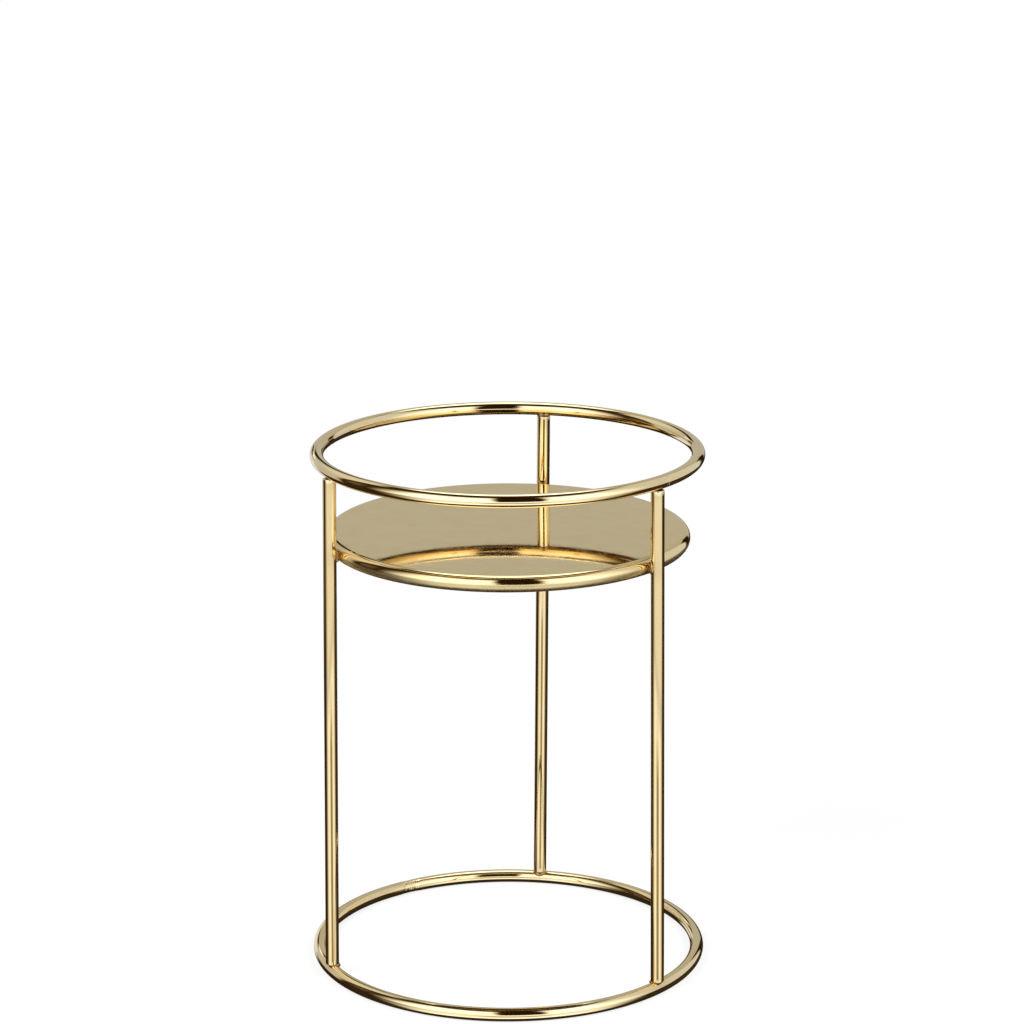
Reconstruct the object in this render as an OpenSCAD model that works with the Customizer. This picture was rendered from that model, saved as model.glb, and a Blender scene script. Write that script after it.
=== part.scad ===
// Welded plant stand: two hoops of round bar, three bar legs between them and
// a flat round shelf with a rolled rim, set a little below the top hoop.
// Origin: centre of the base ring, on the floor. +Z is up and -Y is the front.
// Azimuths are measured from +X, counter-clockwise seen from above.

/* [Bar and rings] */
// Diameter of the round bar in the rings and the legs
bar_d = 8; // [6:0.5:10]
// Height of the stand, from the floor to the top of the top ring
stand_h = 317; // [240:1:420]
// Radius of the base ring, to the middle of its bar
base_ring_r = 115; // [105:0.5:130]
// Radius of the top ring, to the middle of its bar
top_ring_r = 112.8; // [105:0.2:130]

/* [Legs] */
// Azimuth of the front left leg's foot
front_left_az = 203; // [195:0.1:210]
// How far the front left leg's top end is turned on past its foot
front_left_turn = 0.6; // [-2:0.1:2]
// Azimuth of the front right leg's foot
front_right_az = 320.1; // [310:0.1:330]
// How far the front right leg's top end is turned on past its foot
front_right_turn = -0.5; // [-2:0.1:2]
// Azimuth of the rear leg's foot
rear_az = 79.9; // [70:0.1:100]
// How far the rear leg's top end is turned on past its foot
rear_turn = -1.4; // [-2:0.1:2]
// Radius that the edges of a leg's square-cut ends are broken to
leg_edge_r = 0.7; // [0.3:0.1:1.2]

/* [Shelf] */
// Height of the shelf's flat top above the floor
shelf_top_z = 267; // [150:1:280]
// Thickness of the shelf's sheet metal
sheet_t = 1.2; // [0.8:0.1:1.5]
// Diameter of the shelf's rolled rim
rim_d = 10; // [8:0.5:12]
// Angle that the sheet is curled through, from its flat top round and under
curl_angle = 270; // [200:5:290]

/* [Welds] */
// Root gap between the shelf's rim and each leg, which the rim weld fills
root_gap = 0.65; // [0.4:0.05:1]
// Radius of the middle puddle in the bead that joins a leg to a ring
bead_r = 1.4; // [1.3:0.1:1.6]
// Radius of one puddle in the bead that joins the rim to a leg
rim_bead_r = 1.3; // [1.2:0.1:1.6]
// Width of the butt weld that closes each ring, along the bar
seam_w = 1.6; // [1:0.1:2]
// Depth that a butt weld is ground down to below the bar
seam_dip = 0.06; // [0.02:0.02:0.1]
// Azimuth of the base ring's butt weld
base_seam_az = 123.5; // [110:0.5:180]
// Angle from the front right leg on to the top ring's butt weld
top_seam_past = 2.8; // [2.6:0.1:60]

/* [Hidden] */
$fn = 96;
hoop_fn = 240;
puddle_fn = 48;
plate_colour = [0.87, 0.77, 0.55];
sheet_colour = [0.80, 0.73, 0.58];
weld_colour = [0.76, 0.58, 0.30];

bar_r = bar_d / 2;
base_ring_z = bar_r;
top_ring_z = stand_h - bar_r;

// each leg as the azimuths of its foot and of its top end
FRONT_LEFT = [front_left_az, front_left_az + front_left_turn];
FRONT_RIGHT = [front_right_az, front_right_az + front_right_turn];
REAR = [rear_az, rear_az + rear_turn];

// a leg's axis joins the two bar centres, so it leans inwards a little
leg_rise = top_ring_z - base_ring_z;
leg_run = base_ring_r - top_ring_r;
lean = atan(leg_run / leg_rise);

// the shelf is as wide as the legs leave room for at its rim's height
rim_r = rim_d / 2;
rim_z = shelf_top_z - rim_r;
rim_share = (rim_z - base_ring_z) / leg_rise;
leg_axis_r = base_ring_r - leg_run * rim_share;
shelf_r = leg_axis_r - bar_r / cos(lean) - root_gap;
rim_mid_r = shelf_r - rim_r;

// a ring weld wraps the inner side of a leg's end, as a row of puddles
ring_weld_steps = 7;
ring_weld_pitch = 24;
ring_weld_inset = 0.4;
ring_weld_taper = 0.3;
// a rim weld climbs the gap between the rim and the leg
rim_weld_steps = 5;
rim_weld_pitch = 1.2;
// angle of hoop that is cut out of a bead
trim_span = 16;

// arc of a circle as points, from angle a0 to a1
function arc(centre, r, a0, a1, steps = 6) =
    [for (i = [0:steps]) let (a = a0 + (a1 - a0) * i / steps) centre + r * [cos(a), sin(a)]];

// angle that a length takes up on a circle
function angle_of(length, r) = length / r * 180 / PI;

// a leg's top end as seen from its foot: inwards, sideways and up
function leg_reach(leg) =
    let (turn = leg[1] - leg[0])
    [top_ring_r * cos(turn) - base_ring_r, top_ring_r * sin(turn), leg_rise];

// ---- frame -------------------------------------------------------------

// stretch of a hoop centred on an azimuth, used to trim the beads
module hoop_stretch(ring_r, ring_z, section_r, az) {
    translate([0, 0, ring_z])
        rotate([0, 0, az - trim_span / 2])
            rotate_extrude(angle = trim_span, $fn = hoop_fn)
                translate([ring_r, 0])
                    circle(r = section_r);
}

// bar rolled into a hoop, with the gap that its butt weld fills
module hoop(ring_r, ring_z, seam_az) {
    half = angle_of(seam_w / 2, ring_r);
    translate([0, 0, ring_z])
        rotate([0, 0, seam_az + half])
            rotate_extrude(angle = 360 - 2 * half, $fn = hoop_fn)
                translate([ring_r, 0])
                    circle(r = bar_r);
}

// slice of weld metal between the two ends of a hoop
module seam_weld(ring_r, ring_z, seam_az) {
    half = angle_of(seam_w / 2, ring_r);
    translate([0, 0, ring_z])
        rotate([0, 0, seam_az - half])
            rotate_extrude(angle = 2 * half, $fn = hoop_fn)
                translate([ring_r, 0])
                    circle(r = bar_r - seam_dip);
}

// places its children in a leg's own frame: the origin is the middle of the
// base ring's bar, +Z runs up the leg's axis and -X points to the stand's middle
module leg_frame(leg) {
    reach = leg_reach(leg);
    rotate([0, 0, leg[0]])
        translate([base_ring_r, 0, base_ring_z])
            rotate([-asin(reach[1] / norm(reach)), atan(reach[0] / reach[2]), 0])
                children();
}

// square-cut bar with broken edges, standing on the crown of the base ring's bar
module leg_bar(length) {
    flat_r = bar_r - leg_edge_r;
    translate([0, 0, bar_r])
        rotate_extrude() {
            square([flat_r, length]);
            translate([0, leg_edge_r])
                square([bar_r, length - 2 * leg_edge_r]);
            for (y = [leg_edge_r, length - leg_edge_r])
                translate([flat_r, y])
                    circle(r = leg_edge_r);
        }
}

module leg_solid(leg) {
    leg_frame(leg) leg_bar(norm(leg_reach(leg)) - 2 * bar_r);
}

// ---- shelf -------------------------------------------------------------

// section of the rolled rim: the sheet runs round the rim and under it, and its
// cut edge has a half-round end
module rim_section() {
    edge_mid_r = rim_r - sheet_t / 2;
    open_from = 90;
    open_to = open_from + 360 - curl_angle;
    reach = 2 * rim_d;
    translate([rim_mid_r, rim_z]) {
        difference() {
            circle(r = rim_r);
            circle(r = rim_r - sheet_t);
            polygon(concat([[0, 0]], arc([0, 0], reach, open_from, open_to)));
        }
        translate(edge_mid_r * [cos(open_to), sin(open_to)])
            circle(r = sheet_t / 2);
    }
}

module shelf() {
    color(sheet_colour)
        rotate_extrude($fn = hoop_fn) {
            translate([0, shelf_top_z - sheet_t])
                square([rim_mid_r, sheet_t]);
            rim_section();
        }
}

// ---- welds -------------------------------------------------------------

// row of puddles in the wedge between a leg's square end and the ring's bar,
// each smaller than the one before it towards the bead's two ends
module ring_bead() {
    bead_mid_r = bar_r - ring_weld_inset;
    middle = (ring_weld_steps - 1) / 2;
    for (i = [0:ring_weld_steps - 1]) {
        a = (i - middle) * ring_weld_pitch;
        share = abs(i - middle) / middle;
        across = bead_mid_r * cos(a);
        crown = sqrt(bar_r * bar_r - across * across);
        translate([-across, bead_mid_r * sin(a), (bar_r + crown) / 2])
            sphere(r = bead_r * (1 - ring_weld_taper * share * share), $fn = puddle_fn);
    }
}

module base_weld(leg) {
    color(weld_colour)
        difference() {
            leg_frame(leg) ring_bead();
            hoop_stretch(base_ring_r, base_ring_z, bar_r, leg[0]);
            leg_solid(leg);
        }
}

module top_weld(leg) {
    color(weld_colour)
        difference() {
            leg_frame(leg)
                translate([0, 0, norm(leg_reach(leg))])
                    mirror([0, 0, 1])
                        ring_bead();
            hoop_stretch(top_ring_r, top_ring_z, bar_r, leg[1]);
            leg_solid(leg);
        }
}

// row of puddles up the gap between the rim and a leg
module rim_weld(leg) {
    az = leg[0] + (leg[1] - leg[0]) * rim_share;
    color(weld_colour)
        difference() {
            rotate([0, 0, az])
                for (i = [0:rim_weld_steps - 1]) {
                    rise = (i - (rim_weld_steps - 1) / 2) * rim_weld_pitch;
                    translate([shelf_r + root_gap / 2, 0, rim_z + rise])
                        sphere(r = rim_bead_r, $fn = puddle_fn);
                }
            hoop_stretch(rim_mid_r, rim_z, rim_r, az);
            leg_solid(leg);
        }
}

// ---- sub-parts ---------------------------------------------------------

top_seam_az = FRONT_RIGHT[1] + top_seam_past;

module top_ring() { color(plate_colour) hoop(top_ring_r, top_ring_z, top_seam_az); }
module base_ring() { color(plate_colour) hoop(base_ring_r, base_ring_z, base_seam_az); }
module top_ring_seam_weld() { color(weld_colour) seam_weld(top_ring_r, top_ring_z, top_seam_az); }
module base_ring_seam_weld() { color(weld_colour) seam_weld(base_ring_r, base_ring_z, base_seam_az); }
module leg(at) { color(plate_colour) leg_solid(at); }

top_ring();
base_ring();
leg(FRONT_LEFT);  // leg_front_left
leg(FRONT_RIGHT);  // leg_front_right
leg(REAR);  // leg_rear
shelf();
top_ring_seam_weld();
base_ring_seam_weld();
top_weld(FRONT_LEFT);  // top_weld_front_left
top_weld(FRONT_RIGHT);  // top_weld_front_right
top_weld(REAR);  // top_weld_rear
base_weld(FRONT_LEFT);  // base_weld_front_left
base_weld(FRONT_RIGHT);  // base_weld_front_right
base_weld(REAR);  // base_weld_rear
rim_weld(FRONT_LEFT);  // rim_weld_front_left
rim_weld(FRONT_RIGHT);  // rim_weld_front_right
rim_weld(REAR);  // rim_weld_rear
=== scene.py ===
import math

import bpy
import numpy as np
from mathutils import Matrix, Vector


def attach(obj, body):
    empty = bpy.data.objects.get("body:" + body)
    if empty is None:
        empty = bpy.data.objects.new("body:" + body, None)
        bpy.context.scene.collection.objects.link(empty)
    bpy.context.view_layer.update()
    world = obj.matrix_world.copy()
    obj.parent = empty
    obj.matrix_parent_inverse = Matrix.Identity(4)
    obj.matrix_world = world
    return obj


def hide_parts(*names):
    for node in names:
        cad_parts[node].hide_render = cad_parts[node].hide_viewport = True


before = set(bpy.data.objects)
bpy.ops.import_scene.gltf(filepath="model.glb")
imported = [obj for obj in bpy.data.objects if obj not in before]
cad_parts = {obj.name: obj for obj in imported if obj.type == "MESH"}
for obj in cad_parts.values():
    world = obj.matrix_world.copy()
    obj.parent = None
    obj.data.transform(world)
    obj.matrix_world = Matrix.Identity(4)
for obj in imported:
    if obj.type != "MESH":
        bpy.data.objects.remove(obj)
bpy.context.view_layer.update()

# ---- Camera ------------------------------------------------------------
# A long lens two metres in front of the stand and looking down on it by fifteen degrees, as the
# photograph was taken. Lengths are in metres and angles in degrees.
CAMERA_BACK, CAMERA_UP = 2.1532, 0.8535
CAMERA_TILT, CAMERA_TURN, CAMERA_ROLL = 15.003, 0.069, -0.107
CAMERA_LENS_MM = 132.03


def turned(degrees, axis):
    """Rotation matrix for a turn about one axis."""
    return Matrix.Rotation(math.radians(degrees), 4, axis)


camera = bpy.data.objects.new("camera", bpy.data.cameras.new("camera"))
camera.data.lens = CAMERA_LENS_MM
camera.matrix_world = (
    Matrix.Translation((0, -CAMERA_BACK, CAMERA_UP))
    @ turned(-CAMERA_TURN, "Z") @ turned(90 - CAMERA_TILT, "X") @ turned(CAMERA_ROLL, "Z")
)
bpy.context.scene.collection.objects.link(camera)
bpy.context.scene.camera = camera
bpy.context.scene.view_settings.view_transform = "Standard"

# ---- Base ring ---------------------------------------------------------
# Eight millimetre steel bar rolled into a hoop, which stands on the floor. It is polished and
# then plated pale brass together with the rest of the stand.
BAR_R = 0.004
BASE_RING_R = 0.115
BASE_SEAM_AZ = 123.5
SEAM_W = 0.0016
STAND_H = 0.317
TOP_RING_R = 0.1128
# each leg's azimuth at its foot and at its top end
LEGS = {"front_left": (203.0, 203.6), "front_right": (320.1, 319.6), "rear": (79.9, 78.5)}
RIM_Z = 0.262
# how far the hoops keep inside the bar's size
WITHIN = 0.00002
# the depth filed off round the butt weld, and the seed of its unevenness
BASE_FILING = (0.00034, 3)
BAR_SIDES = 72
BAR_BRASS = (0.90, 0.71, 0.39, 1)
HEATED_BRASS = (0.42, 0.26, 0.10, 1)
WORN_PLATE = (0.80, 0.74, 0.60, 1)
# painted shade: the darker brass that the shelf's satin parts are blended towards
PAINTED_SHADE_BRASS = (0.55, 0.42, 0.21, 1)


def at(radius, az, z):
    """Point at a radius, azimuth in degrees and height."""
    a = np.radians(az)
    return np.stack([radius * np.cos(a), radius * np.sin(a), z + 0 * radius * a], -1)


def leg_ends(azs):
    """Middles of the base ring's and the top ring's bar where a leg stands."""
    return at(BASE_RING_R, azs[0], BAR_R), at(TOP_RING_R, azs[1], STAND_H - BAR_R)


def on_leg(azs, z):
    """Point of a leg's axis at a height."""
    foot, top = leg_ends(azs)
    return foot + (top - foot) * (z - foot[2]) / (top[2] - foot[2])


def heat_near(points):
    """How much welding heat a point had: the sum over all joints of exp(-(distance / reach)^2)."""
    reach = 0.009
    heat = np.zeros(points.shape[:-1])
    for azs in LEGS.values():
        inner = at(-BAR_R, azs[0], 0)
        for z in (2 * BAR_R, RIM_Z, STAND_H - 2 * BAR_R):
            gap = np.linalg.norm(points - on_leg(azs, z) - inner, axis=-1)
            heat += np.exp(-((gap / reach) ** 2))
    return heat.clip(0, 1)


def swell(x, y, seed, count=5):
    """Smooth unevenness, -1 to 1: a mean of sine waves of random direction, length and phase."""
    rng = np.random.default_rng(seed)
    total = 0
    for turn, pace, phase in zip(*rng.uniform((0, 0.6, 0), (6.28, 1.7, 6.28), (count, 3)).T):
        total = total + np.sin(pace * (x * math.cos(turn) + y * math.sin(turn)) + phase)
    return total / count


def filed(s, v, depth, seed):
    """Depth of metal that was filed off round a butt weld: a bell along the bar, s, with shallow
    flats round it, v, and the small dips that a hand-held wheel leaves."""
    filed_reach = 0.0062
    bell = np.exp(-((s / filed_reach) ** 4))
    flats = 0.5 + 0.5 * np.sin(3 * v + 1.1)
    broad = swell(s / 0.0007, 4 * v, seed, 9)
    small = swell(s / 0.0003, 12 * v, seed + 1, 13)
    return depth * bell * (0.35 * flats + 0.65 * (0.5 + 0.45 * broad + 0.3 * small).clip(0, 1))


def bar_along(path, out, up, radius):
    """Loops of a round bar carried along a path: path + radius (out cos v + up sin v), where v goes
    once round the bar. radius has one row for each point of the path and one column for each v."""
    v = np.linspace(0, 2 * np.pi, radius.shape[1], endpoint=False)[:, None]
    across = out[:, None] * np.cos(v) + up[:, None] * np.sin(v)
    return path[:, None] + radius[..., None] * across


def skin(name, loops, marks):
    """Closed surface over loops of points: neighbouring loops are joined by quads, and a fan closes
    each end at the mean of its loop. marks are values for every point, kept as attributes."""
    rows, sides = loops.shape[:2]
    ends = [rows * sides, rows * sides + 1]
    points = np.concatenate([loops.reshape(-1, 3), [loops[0].mean(0), loops[-1].mean(0)]])
    here = np.arange(rows * sides).reshape(rows, sides)
    beside = np.roll(here, -1, axis=1)
    quads = np.stack([here[:-1], beside[:-1], beside[1:], here[1:]], -1).reshape(-1, 4)
    fans = np.concatenate([
        np.stack([beside[0], here[0], 0 * here[0] + ends[0]], -1),
        np.stack([here[-1], beside[-1], 0 * here[0] + ends[1]], -1),
    ])
    a, b, c = (points[fans[:, k]] for k in range(3))
    volume = (a * np.cross(b, c)).sum()
    for k in (1, 2):
        a, b, c = points[quads[:, 0]], points[quads[:, k]], points[quads[:, k + 1]]
        volume += (a * np.cross(b, c)).sum()
    if volume < 0:
        quads, fans = quads[:, ::-1], fans[:, ::-1]
    mesh = bpy.data.meshes.new(name)
    mesh.from_pydata(points.tolist(), [], quads.tolist() + fans.tolist())
    mesh.shade_smooth()
    for mark, values in marks.items():
        wide = 3 if values.ndim == 3 else 1
        values = values.reshape(rows, sides, wide)
        flat = np.concatenate([values.reshape(-1, wide), [values[0].mean(0), values[-1].mean(0)]])
        kind, field = ("FLOAT_VECTOR", "vector") if wide == 3 else ("FLOAT", "value")
        attribute = mesh.attributes.new(mark, kind, "POINT")
        attribute.data.foreach_set(field, flat.astype(np.float32).ravel())
    piece = bpy.data.objects.new(name, mesh)
    bpy.context.scene.collection.objects.link(piece)
    return piece


def bar_marks(loops, s, worn, start):
    """What the bar's material reads: place, the point on the bar as if it were straight, the
    welding heat, and how worn the plating is. start keeps the patterns of two bars apart."""
    v = np.linspace(0, 2 * np.pi, loops.shape[1], endpoint=False) + 0 * s[:, None]
    place = np.stack([s[:, None] + start + 0 * v, BAR_R * np.cos(v), BAR_R * np.sin(v)], -1)
    return {"place": place, "weld_heat": heat_near(loops), "worn": worn + 0 * v}


def hoop(name, ring_r, ring_z, seam_az, filing, worn_under, start):
    """A hoop of bar, open where its butt weld goes: the path is the circle of radius ring_r, and
    the radius of the bar falls by what was filed off and by the broken edges of its two ends. It
    also keeps WITHIN inside the size of the bar, so the hoop stays within the CAD model's facets.
    Its loops are closer together on the broken edges and over the filed stretch. The plating is
    worn on the bar's underside, where sin v is below -2/3."""
    chamfer, filed_stretch = 0.00012, 0.009
    length = 2 * math.pi * ring_r - SEAM_W
    steps = np.linspace(0, 1, 9)
    near = np.concatenate([chamfer * steps, chamfer + filed_stretch * steps[1:] ** 1.5])
    near = np.unique(np.concatenate([near, np.linspace(chamfer, filed_stretch, 90)]))
    far = np.linspace(near[-1], length - near[-1], 500)[1:-1]
    s = np.concatenate([near, far, length - near[::-1]])
    az = seam_az + np.degrees((SEAM_W / 2 + s) / ring_r)
    v = np.linspace(0, 2 * np.pi, BAR_SIDES, endpoint=False)
    end = np.minimum(s, length - s)
    edge = chamfer - np.sqrt((chamfer**2 - (chamfer - end).clip(0) ** 2).clip(0))
    from_seam = np.where(s < length / 2, s + SEAM_W / 2, s - length - SEAM_W / 2)
    radius = BAR_R - WITHIN - edge[:, None] - filed(from_seam[:, None], v, *filing)
    out = at(1.0, az, 0)
    up = np.zeros_like(out) + (0, 0, 1)
    loops = bar_along(at(ring_r, az, ring_z), out, up, radius)
    worn = (-np.sin(v) * 3 - 2).clip(0, 1) * worn_under
    return skin(name, loops, bar_marks(loops, s, worn, start))


def new_group(name, takes, gives):
    """Node group with named inputs and outputs. Each input has a socket type and a first value."""
    group = bpy.data.node_groups.new(name, "ShaderNodeTree")
    for socket, (kind, value) in takes.items():
        made = group.interface.new_socket(socket, in_out="INPUT", socket_type="NodeSocket" + kind)
        if value is not None:
            made.default_value = value
    for socket, kind in gives.items():
        group.interface.new_socket(socket, in_out="OUTPUT", socket_type="NodeSocket" + kind)
    taken = group.nodes.new("NodeGroupInput").outputs
    return group, taken, group.nodes.new("NodeGroupOutput").inputs


def add(tree, kind, inputs=(), **settings):
    """Adds a node with these settings. An input given as a socket is linked, and anything else is
    written as the input's own value."""
    made = tree.nodes.new("ShaderNode" + kind)
    for name, value in settings.items():
        setattr(made, name, value)
    for name, value in dict(inputs).items():
        if isinstance(value, bpy.types.NodeSocket):
            tree.links.new(value, made.inputs[name])
        else:
            made.inputs[name].default_value = value
    return made


def scaled(tree, place, scale):
    """place times a scale for each axis."""
    return add(tree, "VectorMath", {0: place, 1: scale}, operation="MULTIPLY").outputs[0]


def noise(tree, place, scale, detail=2.0, roughness=0.5):
    """Noise from 0 to 1 over place, with a scale for each axis in cells a metre."""
    cells = scaled(tree, place, scale)
    inputs = {"Vector": cells, "Scale": 1.0, "Detail": detail, "Roughness": roughness}
    return add(tree, "TexNoise", inputs).outputs["Fac"]


def ramp(tree, value, low, high, to_low=0.0, to_high=1.0, smooth=True):
    """value carried from low..high to to_low..to_high, and held at the ends."""
    inputs = {0: value, 1: low, 2: high, 3: to_low, 4: to_high}
    kind = "SMOOTHSTEP" if smooth else "LINEAR"
    return add(tree, "MapRange", inputs, interpolation_type=kind).outputs[0]


def maths(tree, operation, a, b=0.0):
    """One step of arithmetic."""
    return add(tree, "Math", {0: a, 1: b}, operation=operation).outputs[0]


def blend(tree, share, a, b):
    """Colour a turned into colour b by share."""
    return add(tree, "Mix", {0: share, 6: a, 7: b}, data_type="RGBA").outputs[2]


def attribute(tree, name, output):
    """A piece's own attribute."""
    return add(tree, "Attribute", attribute_name=name).outputs[output]


# Polished metal. Its Height is in micrometres: a long swell that bends the reflections, a faint
# orange peel, fine lines that run with the polishing, and sparse scratches. Its Roughness is that
# of the polish, more where handling has left a haze and in the scratches. The cells of each
# pattern are counted per metre, along the bar and then across it.
SWELL_CELLS, PEEL_CELLS, LINE_CELLS = (48, 130, 130), (600, 800, 800), (60, 4200, 4200)
SCRATCH_CELLS, SMUDGE_CELLS = (35, 2400, 2400), (42, 120, 120)
SCRATCH_ROUGH = 0.08
polish, polish_in, polish_out = new_group(
    "polished_surface",
    {"Place": ("Vector", None), "Swell": ("Float", 10.0), "Peel": ("Float", 0.6),
     "Lines": ("Float", 0.3), "Scratches": ("Float", 1.0), "Gloss": ("Float", 0.08),
     "Haze": ("Float", 0.06)},
    {"Height": "Float", "Roughness": "Float"},
)
scratch = ramp(polish, noise(polish, polish_in["Place"], SCRATCH_CELLS, 1.0), 0.70, 0.74)
height = 0.0
for field, amount in (
    (noise(polish, polish_in["Place"], SWELL_CELLS, 1.0), "Swell"),
    (noise(polish, polish_in["Place"], PEEL_CELLS, 1.0), "Peel"),
    (noise(polish, polish_in["Place"], LINE_CELLS, 3.0, 0.6), "Lines"),
    (maths(polish, "MULTIPLY", scratch, -1.0), "Scratches"),
):
    height = maths(polish, "ADD", maths(polish, "MULTIPLY", field, polish_in[amount]), height)
smudges = ramp(polish, noise(polish, polish_in["Place"], SMUDGE_CELLS, 4.0, 0.6), 0.42, 0.72)
dulled = maths(polish, "MULTIPLY", smudges, polish_in["Haze"])
scored = maths(polish, "MULTIPLY", scratch, SCRATCH_ROUGH)
roughness = maths(polish, "ADD", maths(polish, "ADD", polish_in["Gloss"], dulled), scored)
polish.links.new(height, polish_out["Height"])
polish.links.new(roughness, polish_out["Roughness"])

# Colour of the plating: a little deeper in patches, straw to brown where a weld's heat reached it,
# and thin and pale where it is worn.
PATCH_CELLS, TINT_CELLS, SCUFF_CELLS = (30, 110, 110), (500, 500, 500), (500, 1400, 1400)
PATCH_DEPTH = 1.15
WORN_PALENESS = 0.5
tone, tone_in, tone_out = new_group(
    "plating_tone",
    {"Place": ("Vector", None), "Plate": ("Color", BAR_BRASS), "Heat": ("Float", 0.0),
     "Tint": ("Float", 0.45), "Worn": ("Float", 0.0)},
    {"Color": "Color", "Worn": "Float"},
)
patches = ramp(tone, noise(tone, tone_in["Place"], PATCH_CELLS, 3.0), 0.35, 0.75)
deeper = add(tone, "Gamma", {"Color": tone_in["Plate"], "Gamma": PATCH_DEPTH}).outputs[0]
plated = blend(tone, patches, tone_in["Plate"], deeper)
tint_edge = noise(tone, tone_in["Place"], TINT_CELLS, 2.0)
heated = maths(tone, "MULTIPLY", tone_in["Heat"], maths(tone, "ADD", tint_edge, 0.5))
browned = maths(tone, "MULTIPLY", ramp(tone, heated, 0.1, 0.9), tone_in["Tint"])
plated = blend(tone, browned, plated, HEATED_BRASS)
scuffs = ramp(tone, noise(tone, tone_in["Place"], SCUFF_CELLS, 3.0), 0.45, 0.62)
worn_through = maths(tone, "MULTIPLY", tone_in["Worn"], scuffs)
plated = blend(tone, maths(tone, "MULTIPLY", worn_through, WORN_PALENESS), plated, WORN_PLATE)
tone.links.new(plated, tone_out["Color"])
tone.links.new(worn_through, tone_out["Worn"])


def use_group(tree, group, inputs):
    """Places a node group in a material with its own values."""
    made = tree.nodes.new("ShaderNodeGroup")
    made.node_tree = group
    for name, value in inputs.items():
        if isinstance(value, bpy.types.NodeSocket):
            tree.links.new(value, made.inputs[name])
        else:
            made.inputs[name].default_value = value
    return made.outputs


WORN_ROUGH = 0.2
# the first value is the satin parts' extra roughness; the second is how far they are blended
# towards a darker brass, which is painted shade
SATIN_ROUGH, PAINTED_SHADE_SHARE = 0.33, 0.6
MICROMETRE = 1e-6


def plated_metal(name, finish, plate, tint, satin_and_shade=None):
    """Material of a plated piece: the two groups with this piece's values, and the shader. Its last
    argument names the attribute that says how little of the polish a point got; the same attribute
    also blends the colour there towards a darker brass, as painted shade."""
    material = bpy.data.materials.new(name)
    material.use_nodes = True
    tree = material.node_tree
    shader = tree.nodes["Principled BSDF"]
    place = attribute(tree, "place", "Vector")
    surface = use_group(tree, polish, {"Place": place, **finish})
    colour = use_group(tree, tone, {
        "Place": place, "Plate": plate, "Tint": tint,
        "Heat": attribute(tree, "weld_heat", "Fac"), "Worn": attribute(tree, "worn", "Fac")})
    worn_rough = maths(tree, "MULTIPLY", colour["Worn"], WORN_ROUGH)
    rough = maths(tree, "ADD", surface["Roughness"], worn_rough)
    plate = colour["Color"]
    if satin_and_shade:
        unpolished_and_shaded = attribute(tree, satin_and_shade, "Fac")
        rough = maths(tree, "ADD", rough, maths(tree, "MULTIPLY", unpolished_and_shaded, SATIN_ROUGH))
        # painted shade: the satin parts are blended towards a darker brass
        painted_shade = maths(tree, "MULTIPLY", unpolished_and_shaded, PAINTED_SHADE_SHARE)
        plate = blend(tree, painted_shade, plate, PAINTED_SHADE_BRASS)
    height = {"Height": surface["Height"], "Strength": 1.0, "Distance": MICROMETRE}
    bump = add(tree, "Bump", height)
    tree.links.new(plate, shader.inputs["Base Color"])
    tree.links.new(rough, shader.inputs["Roughness"])
    tree.links.new(bump.outputs[0], shader.inputs["Normal"])
    shader.inputs["Metallic"].default_value = 1.0
    return material


def finish_piece(piece, material, slot, *nodes):
    """Gives a piece its material, fixes it to the stand and hides the CAD nodes it stands for."""
    piece.data.materials.append(material)
    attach(piece, "root")
    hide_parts(*nodes)


BAR_FINISH = {"Lines": 0.25, "Gloss": 0.045, "Haze": 0.05}
plated_bar = plated_metal("plated_bar", BAR_FINISH, BAR_BRASS, 0.25)
base_ring = hoop("plated_base_ring", BASE_RING_R, BAR_R, BASE_SEAM_AZ, BASE_FILING, 1.0, 0.0)
finish_piece(base_ring, plated_bar, "plated_bar", "base_ring")

# ---- Base ring's butt weld ---------------------------------------------
# The hoop's two ends are welded and the bead is filed and polished flush by hand, which leaves a
# dull ripply patch about a centimetre long and a pit or two.
SEAM_DIP = 0.00006
SEAM_RIPPLE, SEAM_RIPPLE_SPAN = 0.00001, 0.0004


def seam(name, ring_r, ring_z, seam_az, filing, start):
    """The slice of weld metal between the hoop's ends: the same path and filing as the hoop, a
    little below the bar, with cross ripples along it."""
    half = SEAM_W / 2
    s = np.linspace(-half, half, 25)
    v = np.linspace(0, 2 * np.pi, BAR_SIDES, endpoint=False)
    ripples = SEAM_RIPPLE * np.sin(2 * np.pi * s / SEAM_RIPPLE_SPAN)[:, None]
    ripples = ripples * (0.6 + 0.4 * np.sin(2 * v))
    radius = BAR_R - SEAM_DIP + ripples - filed(s[:, None], v, *filing)
    az = seam_az + np.degrees(s / ring_r)
    out = at(1.0, az, 0)
    up = np.zeros_like(out) + (0, 0, 1)
    loops = bar_along(at(ring_r, az, ring_z), out, up, radius)
    return skin(name, loops, bar_marks(loops, s, np.zeros((len(s), 1)), start))


WELD_FINISH = {
    "Swell": 15.0, "Peel": 3.0, "Lines": 0.6, "Scratches": 2.0, "Gloss": 0.26, "Haze": 0.14}
weld_metal = plated_metal("plated_weld", WELD_FINISH, BAR_BRASS, 0.95)
base_seam = seam("plated_base_ring_seam", BASE_RING_R, BAR_R, BASE_SEAM_AZ, BASE_FILING, 5.0)
finish_piece(base_seam, weld_metal, "plated_weld", "base_ring_seam_weld")

# ---- Legs --------------------------------------------------------------
# Three straight lengths of the same bar, sawn square, their edges broken. Each stands on the base
# ring's crown and carries the top ring, and leans a little as the welder's jig left it.
LEG_EDGE_R = 0.0007
LEG_WEAR_SPAN = 0.0006


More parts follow.
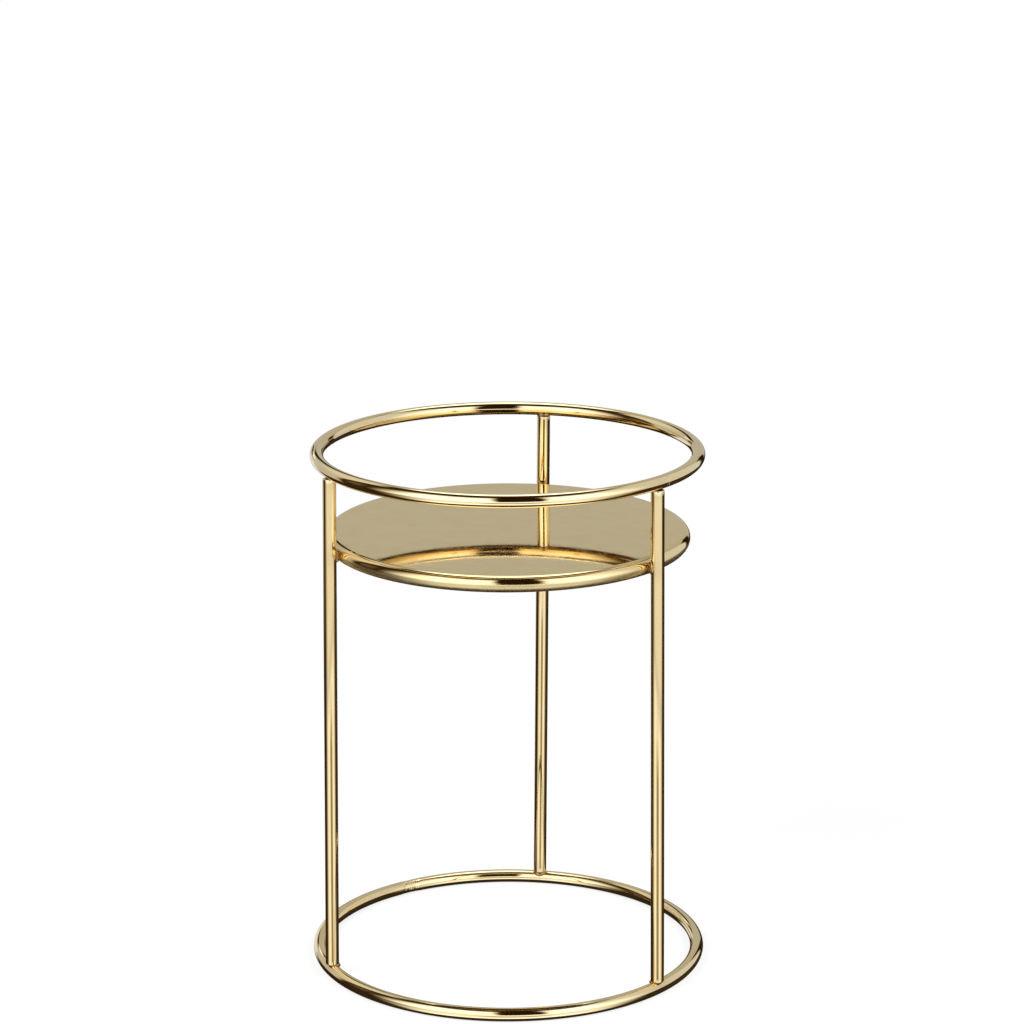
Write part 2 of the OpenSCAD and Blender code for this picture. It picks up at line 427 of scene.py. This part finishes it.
def leg(name, azs, start):
    """A straight bar between the two rings' crowns: the path is the leg's axis, and the radius
    falls by a quarter circle at each end down to the flat sawn face."""
    foot, top = leg_ends(azs)
    length = np.linalg.norm(top - foot)
    axis = (top - foot) / length
    turn = np.linspace(0, np.pi / 2, 9)
    rise = LEG_EDGE_R * (1 - np.cos(turn))
    drop = LEG_EDGE_R * (1 - np.sin(turn))
    inner = [0.4 * BAR_R, 0.75 * BAR_R]
    ends_s = np.concatenate([[0, 0], rise])
    ends_r = np.concatenate([inner, BAR_R - drop])
    shank = np.linspace(LEG_EDGE_R, length - 2 * BAR_R - LEG_EDGE_R, 122)[1:-1]
    s = np.concatenate([ends_s, shank, length - 2 * BAR_R - ends_s[::-1]])
    radius = np.concatenate([ends_r, BAR_R + 0 * shank, ends_r[::-1]])
    out = at(1.0, azs[0], 0)
    out = out - axis * (out @ axis)
    out /= np.linalg.norm(out)
    along = foot + axis * (s[:, None] + BAR_R)
    sides = np.zeros((len(s), BAR_SIDES))
    side = np.cross(axis, out)
    loops = bar_along(along, out + 0 * along, side + 0 * along, radius[:, None] + sides)
    end = np.minimum(s, length - 2 * BAR_R - s)
    worn = np.exp(-((end - LEG_EDGE_R / 2) / LEG_WEAR_SPAN) ** 2)[:, None]
    return skin(name, loops, bar_marks(loops, s, worn, start))


for number, (where, azs) in enumerate(LEGS.items()):
    bar = leg("plated_leg_" + where, azs, 1.0 + number)
    finish_piece(bar, plated_bar, "plated_bar", "leg_" + where)

# ---- Welds between the legs and the rings ------------------------------
# One short bead on the inner side of each joint, in the wedge between the leg's sawn end and the
# round of the ring's bar. It is left as welded, rippled, and plated over.
BEAD_R = 0.0014
BEAD_INSET = 0.0004
BEAD_REACH = 77
BEAD_PUDDLE = 24
BEAD_TAPER = 0.66
BEAD_SIDES = 32
PUDDLE_DIP = 0.07
BEAD_LUMPS = 0.03


def number_of(name):
    """A fixed number for each piece's name, which seeds its unevenness."""
    return sum(ord(letter) * (k + 1) for k, letter in enumerate(name))


def ring_bead(name, azs, at_top, start):
    """A bead carried round the inner half of a leg's end. The path keeps midway between the leg's
    end and the ring's crown, and the radius has a ripple for each puddle and rounds off to
    nothing at the bead's two ends."""
    foot, top = leg_ends(azs)
    axis = (top - foot) / np.linalg.norm(top - foot)
    out = at(1.0, azs[0], 0)
    out = out - axis * (out @ axis)
    out /= np.linalg.norm(out)
    side = np.cross(axis, out)
    if at_top:
        foot, axis = top, -axis
    a = np.radians(np.linspace(-BEAD_REACH, BEAD_REACH, 97))
    mid_r = BAR_R - BEAD_INSET
    across, aside = mid_r * np.cos(a), mid_r * np.sin(a)
    rise = (BAR_R + np.sqrt(BAR_R**2 - across**2)) / 2
    path = foot - out * across[:, None] + side * aside[:, None] + axis * rise[:, None]
    forward = np.gradient(path, axis=0)
    forward /= np.linalg.norm(forward, axis=1, keepdims=True)
    away = -out * np.cos(a)[:, None] + side * np.sin(a)[:, None]
    away -= forward * (away * forward).sum(1, keepdims=True)
    away /= np.linalg.norm(away, axis=1, keepdims=True)
    share = np.abs(np.linspace(-1, 1, len(a)))
    pace = np.degrees(a) * np.pi / BEAD_PUDDLE + 0.3 * np.sin(2 * a + start)
    puddles = 1 - PUDDLE_DIP * np.abs(np.sin(pace))
    rounded = np.sqrt((1 - ((share - 0.8) / 0.2).clip(0) ** 2).clip(0.0004))
    tail = (1 - BEAD_TAPER * share**2) * rounded
    v = np.linspace(0, 2 * np.pi, BEAD_SIDES, endpoint=False)
    lumps = 1 + BEAD_LUMPS * swell(3 * a[:, None], v, number_of(name))
    radius = BEAD_R * (puddles * tail)[:, None] * lumps
    loops = bar_along(path, away, np.cross(forward, away), radius)
    return skin(name, loops, bar_marks(loops, mid_r * a, np.zeros((len(a), 1)), start))


for number, (where, azs) in enumerate(LEGS.items()):
    bead = ring_bead("plated_base_weld_" + where, azs, False, 6.0 + number)
    finish_piece(bead, weld_metal, "plated_weld", "base_weld_" + where)
    bead = ring_bead("plated_top_weld_" + where, azs, True, 9.0 + number)
    finish_piece(bead, weld_metal, "plated_weld", "top_weld_" + where)

# ---- Shelf -------------------------------------------------------------
# One disc of 1.2 mm sheet, flat on top, whose edge is rolled round and under into a full round
# rim. It is polished to a mirror and plated with the bars, and hangs between the three legs.
SHELF_TOP = 0.267
SHEET_T = 0.0012
RIM_R = 0.005
RIM_MID_R = 0.10351
CURL = 270
SHELF_SIDES = 400
MIDDLE_R = 0.0005
DIP_DEPTH, DIP_SPAN, DIP_MARGIN = 0.00001, 0.018, 0.03
RIM_WEAR, RIM_WEAR_SPAN = 0.2, 0.0006
CUT_WEAR_ACROSS, CUT_WEAR_UP = 0.0009, 0.0012
SATIN_AND_SHADE_BELOW, SATIN_AND_SHADE_STEP = RIM_Z + 0.0013, 0.0014


def arc_points(radius, a0, a1, count):
    """Points of an arc about the rim's middle, as radius from the stand's axis and height."""
    a = np.radians(np.linspace(a0, a1, count))
    return np.stack([RIM_MID_R + radius * np.cos(a), RIM_Z + radius * np.sin(a)], -1)


def level(z, r0, r1, count):
    """Points of a level line from radius r0 to r1, closer together towards the rim."""
    share = np.linspace(0, 1, count)
    r = np.linspace(r0, r1, count) if r1 < r0 else r0 + (r1 - r0) * (1 - (1 - share) ** 1.6)
    return np.stack([r, z + 0 * r], -1)


def shelf():
    """The sheet's section carried round the stand's axis: out along the flat top, round the rim's
    curl, over the half-round cut edge, back inside the curl and in along the underside. The flat
    has the slight dips and swells of pressed sheet, the same on both its faces. A fan of radius
    MIDDLE_R closes the middle of each face."""
    cut = 90 - CURL
    inner_r = RIM_R - SHEET_T
    turn = np.radians(np.linspace(0, 180, 11))[1:-1]
    half = SHEET_T / 2
    edge = np.stack([(RIM_R + inner_r) / 2 + half * np.cos(turn), half * np.sin(turn)], -1)
    a = math.radians(cut)
    edge = np.stack([
        RIM_MID_R + edge[:, 0] * math.cos(a) + edge[:, 1] * math.sin(a),
        RIM_Z + edge[:, 0] * math.sin(a) - edge[:, 1] * math.cos(a)], -1)
    top = level(SHELF_TOP, MIDDLE_R, RIM_MID_R, 60)[:-1]
    upper = np.concatenate([top, arc_points(RIM_R, 90, cut, 90)])
    section = np.concatenate([
        upper, edge, arc_points(inner_r, cut, 90, 50),
        level(SHELF_TOP - SHEET_T, RIM_MID_R, MIDDLE_R, 24)[1:]])
    r, z = section[:, :1], section[:, 1:]
    az = np.linspace(0, 360, SHELF_SIDES, endpoint=False)
    loops = at(r, az, z)
    pressed = swell(loops[..., 0] / DIP_SPAN, loops[..., 1] / DIP_SPAN, 11, 7)
    flat = np.clip((RIM_MID_R - r) / DIP_MARGIN, 0, 1) * (z > SHELF_TOP - 1.5 * SHEET_T)
    loops[..., 2] += DIP_DEPTH * pressed * flat * flat
    outermost = np.exp(-((r - RIM_MID_R - RIM_R) / RIM_WEAR_SPAN) ** 2)
    from_cut = (r - RIM_MID_R + RIM_R - half) / CUT_WEAR_ACROSS
    cut_edge = np.exp(-(from_cut**2 + ((z - RIM_Z) / CUT_WEAR_UP) ** 2))
    # how little polish each point got: below the rim's middle and all along the inner side. The
    # material makes these points rougher and, as painted shade, darker
    satin_and_shade = ((SATIN_AND_SHADE_BELOW - z) / SATIN_AND_SHADE_STEP).clip(0, 1)
    satin_and_shade[len(upper):] = 1
    everywhere = 0 * loops[..., 0]
    marks = {"place": loops * (3, 1, 1), "weld_heat": heat_near(loops),
             "satin_and_shade": satin_and_shade + everywhere, "worn": RIM_WEAR * outermost + cut_edge + everywhere}
    return skin("plated_shelf", loops, marks)


# The sheet's polish runs in no one direction, so its lines and scratches lie across each other.
# The wheel didn't reach the lower half of the rim, the inside of the curl and the underside, which
# are satin. The same parts are also painted a darker brass, as painted shade on the rim's lower
# side and underneath.
SHEET_BRASS = (0.90, 0.69, 0.34, 1)
SHEET_FINISH = {
    "Swell": 3.0, "Peel": 0.12, "Lines": 0.01, "Scratches": 0.3, "Gloss": 0.03, "Haze": 0.03}
plated_sheet = plated_metal("plated_sheet", SHEET_FINISH, SHEET_BRASS, 0.5, "satin_and_shade")
finish_piece(shelf(), plated_sheet, "plated_sheet", "shelf")

# ---- Welds between the shelf's rim and the legs ------------------------
# A short upright bead of steel fills the gap between the rim and each leg. It is laid in a few
# small puddles, left as welded, and plated over with the rest.
RIM_BEAD_R = 0.0013
RIM_BEAD_HALF = 0.0028
RIM_PUDDLE = 0.0012
RIM_PUDDLE_DIP = 0.06
RIM_SHARE = 0.83


def rim_bead(name, azs, start):
    """A bead carried up the gap between the rim and a leg: a straight path, and a radius with a
    ripple for each puddle that rounds off at both ends. RIM_SHARE is how far up the leg the rim
    lies."""
    middle = on_leg(azs, RIM_Z)
    inward = -at(1.0, np.float64(azs[0] + (azs[1] - azs[0]) * RIM_SHARE), 0)
    gap_mid = middle + inward * (np.hypot(*middle[:2]) - RIM_MID_R - RIM_R + BAR_R) / 2
    half = RIM_BEAD_HALF + RIM_BEAD_R
    z = half * np.sin(np.linspace(-np.pi / 2, np.pi / 2, 61))
    tail = np.sqrt((RIM_BEAD_R**2 - (np.abs(z) - RIM_BEAD_HALF).clip(0) ** 2).clip(1e-10))
    puddles = 1 - RIM_PUDDLE_DIP * np.abs(np.sin(np.pi * z / RIM_PUDDLE + 0.4))
    path = gap_mid + z[:, None] * np.array([0, 0, 1.0])
    side = np.array([-inward[1], inward[0], 0])
    v = np.linspace(0, 2 * np.pi, BEAD_SIDES, endpoint=False)
    lumps = 1 + BEAD_LUMPS * swell(1500 * z[:, None], v, number_of(name))
    radius = (tail * puddles)[:, None] * lumps
    loops = bar_along(path, inward + 0 * path, side + 0 * path, radius)
    return skin(name, loops, bar_marks(loops, z, np.zeros((len(z), 1)), start))


for number, (where, azs) in enumerate(LEGS.items()):
    bead = rim_bead("plated_rim_weld_" + where, azs, 12.0 + number)
    finish_piece(bead, weld_metal, "plated_weld", "rim_weld_" + where)

# ---- Top ring ----------------------------------------------------------
# A second hoop of the same bar, a little smaller, welded on the legs' sawn ends. Its butt weld is
# just past the front right leg and is better dressed than the base ring's.
TOP_SEAM_PAST = 2.8
TOP_SEAM_AZ = LEGS["front_right"][1] + TOP_SEAM_PAST
TOP_FILING = (0.00006, 8)

top_z = STAND_H - BAR_R
top_ring = hoop("plated_top_ring", TOP_RING_R, top_z, TOP_SEAM_AZ, TOP_FILING, 0.0, 4.0)
finish_piece(top_ring, plated_bar, "plated_bar", "top_ring")
top_seam = seam("plated_top_ring_seam", TOP_RING_R, top_z, TOP_SEAM_AZ, TOP_FILING, 5.5)
finish_piece(top_seam, weld_metal, "plated_weld", "top_ring_seam_weld")

# ---- Floor -------------------------------------------------------------
# A plain white floor that runs out of sight in every direction. Its colour goes over into the
# backdrop's even white round the stand, and close by it keeps the stand's soft shadow.
FLOOR_SPAN = 30.0
FLOOR_DROP = 0.00005
FLOOR_GLOW = 0.8
SHADED_R, WHITE_R = 0.25, 0.75
FLOOR_WHITE = (0.94, 0.94, 0.94, 1)

corners = [
    (x * FLOOR_SPAN, y * FLOOR_SPAN, -FLOOR_DROP) for x, y in ((-1, -1), (1, -1), (1, 1), (-1, 1))]
floor_mesh = bpy.data.meshes.new("floor")
floor_mesh.from_pydata(corners, [], [(0, 1, 2, 3)])
floor = bpy.data.objects.new("floor", floor_mesh)
bpy.context.scene.collection.objects.link(floor)
white_floor = bpy.data.materials.new("white_floor")
white_floor.use_nodes = True
tree = white_floor.node_tree
tree.nodes.remove(tree.nodes["Principled BSDF"])
matt = add(tree, "BsdfDiffuse", {"Color": FLOOR_WHITE})
glow = add(tree, "Emission", {"Color": (1, 1, 1, 1), "Strength": 1.0})


def background_rays(tree):
    """1 for the rays that should meet the white background: those of the camera, and those that
    the metal mirrors or glass lets through."""
    path = add(tree, "LightPath").outputs
    seen = maths(tree, "MAXIMUM", path["Is Camera Ray"], path["Is Glossy Ray"])
    return maths(tree, "MAXIMUM", seen, path["Is Transmission Ray"])


spot = add(tree, "TexCoord").outputs["Object"]
from_stand = add(tree, "VectorMath", {0: spot}, operation="LENGTH").outputs["Value"]
evenness = ramp(tree, from_stand, SHADED_R, WHITE_R, FLOOR_GLOW, 1.0)
share = maths(tree, "MULTIPLY", background_rays(tree), evenness)
mixed = add(tree, "MixShader", {0: share, 1: matt.outputs[0], 2: glow.outputs[0]})
tree.links.new(mixed.outputs[0], tree.nodes["Material Output"].inputs[0])
floor_mesh.materials.append(white_floor)
floor.visible_glossy = False

# ---- Room light --------------------------------------------------------
# Soft white light from all round, and two large lamps in front, to the left and the right, that
# give the floor its faint, soft shadow.
ROOM_LIGHT = 0.65
LAMP_SPAN = 1.2
LAMP_AIM = (0, 0, 0.15)

world = bpy.data.worlds.new("room")
bpy.context.scene.world = world
world.use_nodes = True
tree = world.node_tree
backdrop = tree.nodes["Background"]
strength = maths(tree, "MULTIPLY_ADD", background_rays(tree), 1 - ROOM_LIGHT)
strength.node.inputs[2].default_value = ROOM_LIGHT
tree.links.new(strength, backdrop.inputs["Strength"])
backdrop.inputs["Color"].default_value = (1, 1, 1, 1)


def soft_lamp(name, place, size, power):
    """A square area lamp that faces the stand. The metal doesn't mirror it, because it mirrors the
    soft boxes below."""
    lamp = bpy.data.lights.new(name, "AREA")
    lamp.energy, lamp.size = power, size
    made = bpy.data.objects.new(name, lamp)
    towards = Vector(LAMP_AIM) - Vector(place)
    facing = towards.to_track_quat("-Z", "Y").to_matrix().to_4x4()
    made.matrix_world = Matrix.Translation(place) @ facing
    made.visible_glossy = False
    bpy.context.scene.collection.objects.link(made)


soft_lamp("lamp_left", (-1.3, -1.2, 1.5), LAMP_SPAN, 32)
soft_lamp("lamp_right", (1.3, -1.1, 1.5), LAMP_SPAN, 26)

# ---- Studio that the metal mirrors -------------------------------------
# Polished metal looks like what stands round it: here two tall soft boxes with a gap for the
# lens, a grey backdrop, pale walls, and black flags that give the bars their dark edges. They are
# areas of one large dome, which only reflections see.
DOME_R = 1.6
DOME_Z = 0.16
STUDIO_DIM = (0.03, 0.03, 0.03, 1)
OVERHEAD = math.radians(66)

dome_v = np.radians(np.linspace(-89.5, 89.5, 60))
dome_u = np.radians(np.linspace(0, 360, 120, endpoint=False))
dome_loops = DOME_R * np.stack([
    np.cos(dome_v)[:, None] * np.cos(dome_u), np.cos(dome_v)[:, None] * np.sin(dome_u),
    np.sin(dome_v)[:, None] + 0 * dome_u], -1) + (0, 0, DOME_Z)
dome = skin("studio_dome", dome_loops, {})
studio = bpy.data.materials.new("studio_dome")
studio.use_nodes = True
tree = studio.node_tree
tree.nodes.remove(tree.nodes["Principled BSDF"])
spot = add(tree, "TexCoord").outputs["Object"]
spot = add(tree, "VectorMath", {0: spot, 1: (0, 0, DOME_Z)}, operation="SUBTRACT").outputs[0]
spot = add(tree, "VectorMath", {0: spot}, operation="NORMALIZE").outputs[0]
parts = add(tree, "SeparateXYZ", {0: spot}).outputs
front = maths(tree, "MULTIPLY", parts["Y"], -1.0)
azimuth = maths(tree, "DEGREES", maths(tree, "ARCTAN2", parts["X"], front))
elevation = maths(tree, "DEGREES", maths(tree, "ARCSINE", parts["Z"]))
off_front = maths(tree, "ABSOLUTE", azimuth)
panel_way = (0, math.cos(OVERHEAD), math.sin(OVERHEAD))
off_top = add(tree, "VectorMath", {0: spot, 1: panel_way}, operation="DOT_PRODUCT")
off_top = maths(tree, "DEGREES", maths(tree, "ARCCOSINE", off_top.outputs["Value"]))
dim = add(tree, "RGB")
dim.outputs[0].default_value = STUDIO_DIM
lit = dim.outputs[0]


def window(angle, out_0, full_0, full_1, out_1):
    """1 between two angles, and down to 0 over a smooth step at each side. A step whose two ends
    are the same is left out."""
    mask = 1.0
    for low, high, first, last in ((out_0, full_0, 0.0, 1.0), (full_1, out_1, 1.0, 0.0)):
        if low < high:
            mask = maths(tree, "MULTIPLY", ramp(tree, angle, low, high, first, last), mask)
    return mask


def panel(across, az, el, light, tint=(1.0, 1.0, 1.0)):
    """Lays a panel over what is there: az and el hold its window's four angles in azimuth, 0 in
    front and plus to the right, and in elevation."""
    mask = maths(tree, "MULTIPLY", window(across, *az), window(elevation, *el))
    return blend(tree, mask, lit, (*(light * share for share in tint), 1))


PALE, COOL = (1, 1.03, 1.08), (1, 1.08, 1.25)
# grey backdrop behind, and a pale wall at each side
lit = panel(off_front, (130, 150, 180, 180), (-6, 2, 44, 60), 0.51, PALE)
lit = panel(azimuth, (-152, -144, -113, -104), (-16, -8, 50, 58), 0.60, PALE)
lit = panel(azimuth, (-156, -146, -113, -106), (16, 38, 50, 58), 0.80, PALE)
lit = panel(azimuth, (60, 72, 141, 146), (-9, -5, 54, 66), 0.72, COOL)
# behind on the left, white cards with dark stands between them
lit = panel(azimuth, (-166, -162, -146, -141), (-28, -20, 3, 6), 0.85, PALE)
lit = panel(azimuth, (-165, -163, -155, -153), (6, 8, 13, 15), 0.04)
lit = panel(azimuth, (-160, -158, -151, -147), (13, 14, 18, 20), 1.1, PALE)
lit = panel(azimuth, (-173, -169, -161, -158), (18, 20, 34, 40), 0.02)
# behind on the right, a dark stand and its foot
lit = panel(azimuth, (142, 145, 152, 154), (-10, -6, 19, 22), 0.02)
lit = panel(azimuth, (142, 146, 164, 170), (-34, -26, -8, -3), 0.04)
# a white panel overhead, a little to the back, by its angle from the panel's middle
lit = panel(off_top, (0, 0, 13, 20), (0, 10, 90, 90), 2.0, COOL)
# the table in front, the gap over its far edge, and the two soft boxes, sharp towards the lens and
# fading outwards
lit = panel(azimuth, (-80, -44, 40, 86), (-58, -50, -36, -30), 1.5, COOL)
lit = panel(azimuth, (-84, -40, 44, 88), (-36, -30, -17, -14.5), 1.15, PALE)
lit = panel(azimuth, (-84, -34, 58, 88), (-17, -14.5, 20, 30), 0.92, PALE)
lit = panel(azimuth, (-62, -37, 40, 64), (-9, -3, 6, 13), 1.5, COOL)
lit = panel(azimuth, (-88, -45, -14, -5), (-5, 8, 44, 66), 1.7, COOL)
lit = panel(azimuth, (17, 30, 44, 90), (-5, 8, 44, 66), 1.7, COOL)
# the shaded front edge of the table, under the lens
lit = panel(azimuth, (-20, -8, 14, 30), (-30, -27, -18.8, -16.8), 0.33)
# black flags: above the lens, to the left, and low on the right
lit = panel(azimuth, (-9, -4, 18, 24), (0, 3, 68, 80), 0.02)
lit = panel(azimuth, (-108, -103, -91, -85), (-62, -50, 56, 66), 0.04)
lit = panel(azimuth, (80, 98, 142, 146), (-80, -66, -13, -9), 0.05)
# a faint glimmer on the left flag
lit = panel(azimuth, (-104, -98, -92, -86), (4, 9, 22, 34), 0.13)


def warmer_when_dim(light, full, power):
    """A channel of the light turned down where the red one is dim, so that the studio's darker
    parts, which only get light from brown floors and walls, are warm."""
    share = maths(tree, "MINIMUM", maths(tree, "DIVIDE", channels["Red"], full), 1.0)
    return maths(tree, "MULTIPLY", light, maths(tree, "POWER", share, power))


channels = add(tree, "SeparateColor", {0: lit}).outputs
lit = add(tree, "CombineColor", {
    0: channels["Red"],
    1: warmer_when_dim(channels["Green"], full=0.5, power=0.20),
    2: warmer_when_dim(channels["Blue"], full=0.6, power=0.48)}).outputs[0]
shine = add(tree, "Emission", {"Color": lit, "Strength": 1.0})
tree.links.new(shine.outputs[0], tree.nodes["Material Output"].inputs[0])
dome.data.materials.append(studio)

# The shade on the floor right beside the base ring, as the ring and the legs' feet mirror it. It is
# a thin disc just over the floor, clear but for its outer part.
NEAR_R = 0.1205
SHADE_FROM, SHADE_FULL = 0.1065, 0.1105
SHADE_BROWN, SHADE_LIGHT = (1, 0.8, 0.55, 1), 0.03
near_r = np.array([MIDDLE_R, 0.06, 0.09, NEAR_R])
near = at(near_r[:, None], np.linspace(0, 360, 96, endpoint=False), -FLOOR_DROP / 2)
near_floor = skin("near_floor", np.concatenate([near, near[:1] - (0, 0, FLOOR_DROP / 4)]), {})
shade = bpy.data.materials.new("near_floor")
shade.use_nodes = True
tree = shade.node_tree
tree.nodes.remove(tree.nodes["Principled BSDF"])
spot = add(tree, "TexCoord").outputs["Object"]
from_middle = add(tree, "VectorMath", {0: spot}, operation="LENGTH").outputs["Value"]
cover = ramp(tree, from_middle, SHADE_FROM, SHADE_FULL)
shine = add(tree, "Emission", {"Color": SHADE_BROWN, "Strength": SHADE_LIGHT})
clear = add(tree, "BsdfTransparent")
mixed = add(tree, "MixShader", {0: cover, 1: clear.outputs[0], 2: shine.outputs[0]})
tree.links.new(mixed.outputs[0], tree.nodes["Material Output"].inputs[0])
near_floor.data.materials.append(shade)

for unseen in (dome, near_floor):
    for ray in ("camera", "diffuse", "shadow"):
        setattr(unseen, "visible_" + ray, False)
